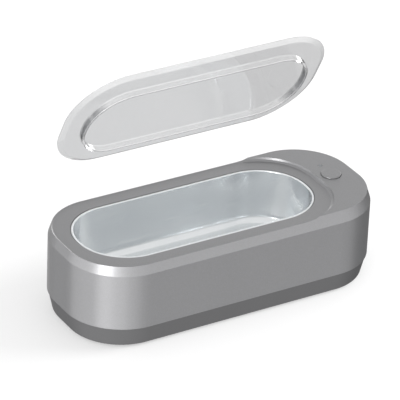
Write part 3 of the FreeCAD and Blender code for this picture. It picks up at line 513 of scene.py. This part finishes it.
# ---- power inlet: a black nylon barrel socket held by a nickel-plated nut, with its pin in the middle.
# Nickel is warmer than zinc and nearly mirror bright; the nylon is semi-gloss.
nylon_grain_mm = 0.4
black_nylon, tree, shader = new_finish("black_nylon", Roughness=0.38, IOR=1.53)
place = add_node(tree, "ShaderNodeTexCoord")
grain = add_node(tree, "ShaderNodeTexNoise", {"Scale": 1 / (nylon_grain_mm * MM)},
                 {"Vector": (place, "Object")})
tint = add_node(tree, "ShaderNodeValToRGB", links={"Fac": (grain, "Fac")})
tint.color_ramp.elements[0].color = linear("#131314")
tint.color_ramp.elements[1].color = linear("#1f1f20")
tree.links.new(tint.outputs["Color"], shader.inputs["Base Color"])
finish_node("power_inlet", black_nylon)

bright_nickel, tree, shader = new_finish("bright_nickel_plate", Metallic=1.0)
place = add_node(tree, "ShaderNodeTexCoord")
haze = add_node(tree, "ShaderNodeTexNoise", {"Scale": 1 / (nylon_grain_mm * MM)},
                {"Vector": (place, "Object")})
tint = add_node(tree, "ShaderNodeValToRGB", links={"Fac": (haze, "Fac")})
tint.color_ramp.elements[0].color = linear("#cdc6b8")
tint.color_ramp.elements[1].color = linear("#ded8cb")
satin = add_node(tree, "ShaderNodeMapRange", {"To Min": 0.10, "To Max": 0.2}, {"Value": (haze, "Fac")})
tree.links.new(tint.outputs["Color"], shader.inputs["Base Color"])
tree.links.new(satin.outputs["Result"], shader.inputs["Roughness"])
for name in ("inlet_pin", "inlet_nut"):
    finish_node(name, bright_nickel)

# ---- lid: one clear moulding in polished acrylic, 2 mm thick, with a tapered rim and a rib that drops into
# the tank. It takes a slight smoke tint from its thickness, and handling leaves faint hairline scratches.
# Its edges carry painted light: a painted highlight makes them paler along the sides, painted shade darker
# round the ends.
scratch_mm = 0.5
scratch_scale_along = 0.03      # the pattern's scale along the scratches, as a share of that across them
wiping_angle = 0.3
lid_tilt = math.radians(62.0)
rim_end_mm = 6.0
rim_blend_mm = 4.0
# How much clarity the end rims lose, so that their painted shade shows as a dark outline.
rim_end_painted_shade_share = 0.55

# Full refraction would blacken the thin edges in so bare a room, so the body refracts far less than acrylic
# does and the clear coat gives the gloss; the painted highlight and painted shade below stand in for what the
# edges bend.
clear_acrylic, tree, shader = new_finish("polished_clear_acrylic", IOR=1.08, Coat_Weight=1.0, Coat_IOR=1.5,
                                         Coat_Roughness=0.02)
place = add_node(tree, "ShaderNodeTexCoord")
wiped = add_node(tree, "ShaderNodeMapping",
                 {"Scale": (scratch_scale_along, 1.0, 1.0), "Rotation": (0.0, 0.0, wiping_angle)},
                 {"Vector": (place, "Object")})
hairlines = add_node(tree, "ShaderNodeTexNoise", {"Scale": 1 / (scratch_mm * MM), "Detail": 2.0},
                     {"Vector": (wiped, "Vector")})
plate_facing = add_node(tree, "ShaderNodeVectorMath", {1: (0.0, math.sin(lid_tilt), math.cos(lid_tilt))},
                        {0: (place, "Normal")}, operation="DOT_PRODUCT")
flatness = add_node(tree, "ShaderNodeMath", links={0: (plate_facing, "Value")}, operation="ABSOLUTE")
# Painted highlight: the chamfer and rib walls go near white, while the flat plate keeps its smoke tint.
smoke_tint_and_painted_edge_light = add_node(tree, "ShaderNodeValToRGB", links={"Fac": (flatness, "Value")})
smoke_tint_and_painted_edge_light.color_ramp.elements[0].position = 0.92
smoke_tint_and_painted_edge_light.color_ramp.elements[0].color = linear("#f4f4f4")
smoke_tint_and_painted_edge_light.color_ramp.elements[1].position = 0.985
smoke_tint_and_painted_edge_light.color_ramp.elements[1].color = linear("#cacacb")
axes = add_node(tree, "ShaderNodeSeparateXYZ", links={"Vector": (place, "Normal")})
endwards = add_node(tree, "ShaderNodeMath", links={0: (axes, "X")}, operation="ABSOLUTE")
upright_end = add_node(tree, "ShaderNodeMapRange", {"From Min": 0.6, "From Max": 0.95},
                       {"Value": (endwards, "Value")})
bevel_end = add_node(tree, "ShaderNodeMapRange", {"From Min": 0.15, "From Max": 0.40, "To Max": 0.75},
                     {"Value": (endwards, "Value")})
# Painted light on the upright walls: a near-white painted highlight along the sides, painted shade at the
# ends.
edge_painted_light_and_shade = add_node(tree, "ShaderNodeMix", {"A": linear("#fcfcfc"), "B": linear("#8e8f91")},
                     {"Factor": (upright_end, "Result")}, data_type="RGBA")
# Painted shade on the chamfer round the ends.
bevel_end_painted_shade = add_node(tree, "ShaderNodeMix", {"B": linear("#c4c5c6")},
                      {"Factor": (bevel_end, "Result")}, data_type="RGBA")
tree.links.new(smoke_tint_and_painted_edge_light.outputs["Color"], bevel_end_painted_shade.inputs[6])
upright_part = add_node(tree, "ShaderNodeMapRange", {"From Min": 0.75, "From Max": 0.4},
                        {"Value": (flatness, "Value")})
tint = add_node(tree, "ShaderNodeMix", links={"Factor": (upright_part, "Result")}, data_type="RGBA")
tree.links.new(bevel_end_painted_shade.outputs[2], tint.inputs[6])
tree.links.new(edge_painted_light_and_shade.outputs[2], tint.inputs[7])
# The chamfer and rib walls are less clear, so their painted highlight and painted shade show.
clarity = add_node(tree, "ShaderNodeValToRGB", links={"Fac": (flatness, "Value")})
clarity.color_ramp.elements[0].position = 0.15
clarity.color_ramp.elements[0].color = (0.96, 0.96, 0.96, 1)
clarity.color_ramp.elements[1].position = 0.96
clarity.color_ramp.elements[1].color = (1.0, 1.0, 1.0, 1)
for facing, share in ((0.3, 0.75), (0.8, 0.62), (0.89, 0.87)):
    clarity.color_ramp.elements.new(facing).color = (share, share, share, 1)
# The end rims lose more clarity still, so painted shade draws a dark outline round them.
lid_low, lid_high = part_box("lid")
rim_end_start = (lid_high.x - lid_low.x) / 2 - rim_end_mm * MM
position = add_node(tree, "ShaderNodeSeparateXYZ", links={"Vector": (place, "Object")})
off_middle = add_node(tree, "ShaderNodeMath", {1: (lid_low.x + lid_high.x) / 2}, {0: (position, "X")},
                      operation="SUBTRACT")
reach_out = add_node(tree, "ShaderNodeMath", links={0: (off_middle, "Value")}, operation="ABSOLUTE")
rim_end = add_node(tree, "ShaderNodeMapRange",
                   {"From Min": rim_end_start, "From Max": rim_end_start + rim_blend_mm * MM},
                   {"Value": (reach_out, "Value")})
rim_edge = add_node(tree, "ShaderNodeMath", links={0: (rim_end, "Result"), 1: (upright_part, "Result")},
                    operation="MULTIPLY")
share_left = add_node(tree, "ShaderNodeMath", {1: -rim_end_painted_shade_share, 2: 1.0}, {0: (rim_edge, "Value")},
                      operation="MULTIPLY_ADD")
edge_clarity = add_node(tree, "ShaderNodeMath", links={0: (clarity, "Color"), 1: (share_left, "Value")},
                        operation="MULTIPLY")
polish = add_node(tree, "ShaderNodeMapRange",
                  {"From Min": 0.45, "From Max": 0.75, "To Min": 0.0, "To Max": 0.08},
                  {"Value": (hairlines, "Fac")})
tree.links.new(tint.outputs[2], shader.inputs["Base Color"])
tree.links.new(polish.outputs["Result"], shader.inputs["Roughness"])
tree.links.new(edge_clarity.outputs["Value"], shader.inputs["Transmission Weight"])
finish_node("lid", clear_acrylic)
# Clear plastic lets the studio lights through and leaves no dark reflection on the housing.
nodes["lid"].visible_shadow = False
nodes["lid"].visible_glossy = False
nodes["lid"].visible_diffuse = False

# ---- studio: a wide white table and a pale room with soft panels on its walls. The panels are a bright
# horizon, a tall softbox at the front left that draws the highlight down the housing's rounded end, fills
# beside it, and darker flags that shade the ends. One lamp draws the shadow and one lifts the back.
table_white, tree, shader = new_finish("white_table", Roughness=0.9, Emission_Strength=0.45)
shader.inputs["Base Color"].default_value = (0.50, 0.50, 0.50, 1.0)
shader.inputs["Emission Color"].default_value = linear("#ffffff")
shader.inputs["Specular IOR Level"].default_value = 0.0
table_half = 4.0
table_mesh = bpy.data.meshes.new("table")
table_shape = bmesh.new()
bmesh.ops.create_grid(table_shape, x_segments=1, y_segments=1, size=table_half)
table_shape.to_mesh(table_mesh)
table_shape.free()
table_mesh.materials.append(table_white)
table = bpy.data.objects.new("table", table_mesh)
bpy.context.scene.collection.objects.link(table)
table.visible_diffuse = False       # the table takes the shadow and throws no light back
table.visible_glossy = False
table.visible_shadow = False

room_level = 0.66
darkest_room = 0.03
# Each panel: azimuth from +X and half width in degrees, lowest and highest z of its direction, light added.
room_panels = (
    ("ceiling", 0, 180, 0.45, 1.10, 0.26),
    ("horizon", 0, 180, 0.0, 0.08, 1.6),
    ("softbox", 222, 21, -0.70, 0.26, 1.15),
    ("softbox_core", 213, 3, -0.70, 0.25, 0.7),
    ("softbox_top", 213, 2, -0.02, 0.25, 9.0),
    ("left_fill", 160, 16, -0.80, 0.0, 0.60),
    ("right_fill", 262, 8, -0.80, -0.02, 0.60),
    ("right_flag", 22, 40, -0.80, -0.20, -0.50),
    ("edge_flag", 66, 8, -0.80, -0.20, -0.14),
    ("left_flag", 112, 18, -0.80, -0.05, -0.26),
    ("low_flag", 118, 32, -1.1, -0.62, -0.36))
softness = math.radians(14)
least_step = 0.001
room = bpy.data.worlds.new("room")
room.use_nodes = True
tree = room.node_tree
tree.nodes.clear()
direction = add_node(tree, "ShaderNodeTexCoord")
axes = add_node(tree, "ShaderNodeSeparateXYZ", links={"Vector": (direction, "Generated")})
level = add_node(tree, "ShaderNodeCombineXYZ", links={"X": (axes, "X"), "Y": (axes, "Y")})
heading = add_node(tree, "ShaderNodeVectorMath", links={0: (level, "Vector")}, operation="NORMALIZE")
light = add_node(tree, "ShaderNodeValue")
light.outputs[0].default_value = room_level
for name, azimuth, half_width, lowest, highest, strength in room_panels:
    turn, half = math.radians(azimuth), math.radians(half_width)
    facing = add_node(tree, "ShaderNodeVectorMath", {1: (math.cos(turn), math.sin(turn), 0.0)},
                      {0: (heading, "Vector")}, operation="DOT_PRODUCT")
    across = add_node(tree, "ShaderNodeMapRange",
                      {"From Min": math.cos(min(half + softness, math.pi)) - least_step,
                       "From Max": math.cos(half)},
                      {"Value": (facing, "Value")}, interpolation_type="SMOOTHSTEP")
    off_centre = add_node(tree, "ShaderNodeMath", {1: -(lowest + highest) / 2}, {0: (axes, "Z")},
                          operation="ADD")
    distance = add_node(tree, "ShaderNodeMath", links={0: (off_centre, "Value")}, operation="ABSOLUTE")
    reach = (highest - lowest) / 2
    upright = add_node(tree, "ShaderNodeMapRange",
                       {"From Min": reach + softness / 2, "From Max": reach}, {"Value": (distance, "Value")},
                       interpolation_type="SMOOTHSTEP")
    patch = add_node(tree, "ShaderNodeMath", links={0: (across, "Result"), 1: (upright, "Result")},
                     operation="MULTIPLY")
    light = add_node(tree, "ShaderNodeMath", {1: strength}, {0: (patch, "Value"), 2: (light, 0)},
                     operation="MULTIPLY_ADD")
never_black = add_node(tree, "ShaderNodeMath", {1: darkest_room}, {0: (light, "Value")}, operation="MAXIMUM")
glow = add_node(tree, "ShaderNodeBackground", links={"Color": (never_black, "Value")})
add_node(tree, "ShaderNodeOutputWorld", links={"Surface": (glow, "Background")})
bpy.context.scene.world = room

key_data = bpy.data.lights.new("key_light", "AREA")
key_data.shape = "RECTANGLE"
key_data.size, key_data.size_y = 0.7, 0.7
key_data.energy = 16.0
key_light = bpy.data.objects.new("key_light", key_data)
toward_key, key_distance = Vector((0.80, -0.30, 0.52)), 1.6
key_light.location = toward_key * key_distance
key_light.rotation_euler = toward_key.to_track_quat("Z", "Y").to_euler()
bpy.context.scene.collection.objects.link(key_light)
key_reach = bpy.data.collections.new("key_reach")      # the key only draws the soft shadow on the table
key_reach.objects.link(table)
key_light.light_linking.receiver_collection = key_reach

fill_data = bpy.data.lights.new("back_fill", "AREA")        # keeps the back and the +X end from going dark
fill_data.shape = "RECTANGLE"
fill_data.size, fill_data.size_y = 1.2, 0.7
fill_data.energy = 3.0
back_fill = bpy.data.objects.new("back_fill", fill_data)
toward_fill, fill_distance = Vector((0.72, 0.68, 0.10)), 1.8
back_fill.location = toward_fill * fill_distance
back_fill.rotation_euler = toward_fill.to_track_quat("Z", "Y").to_euler()
bpy.context.scene.collection.objects.link(back_fill)

# ---- camera: a long lens from the front left, looking down on the deck, with the smallest of tilts.
# From so far away the long edges of the housing stay nearly parallel.
bpy.context.scene.view_settings.view_transform = "Standard"
camera_data = bpy.data.cameras.new("camera")
camera_data.lens = 289.1
camera_data.sensor_width = 36.0
camera = bpy.data.objects.new("camera", camera_data)
side, rise, tilt = math.radians(-31.85), math.radians(29.09), math.radians(2.44)
aim, camera_distance = Vector((0.00704, 0.02446, 0.04503)), 1.9045
back = Vector((math.sin(side) * math.cos(rise), -math.cos(side) * math.cos(rise), math.sin(rise)))
camera.location = aim + back * camera_distance
camera.rotation_euler = (back.to_track_quat("Z", "Y").to_matrix() @ Matrix.Rotation(tilt, 3, "Z")).to_euler()
bpy.context.scene.collection.objects.link(camera)
bpy.context.scene.camera = camera

bpy.context.view_layer.update()
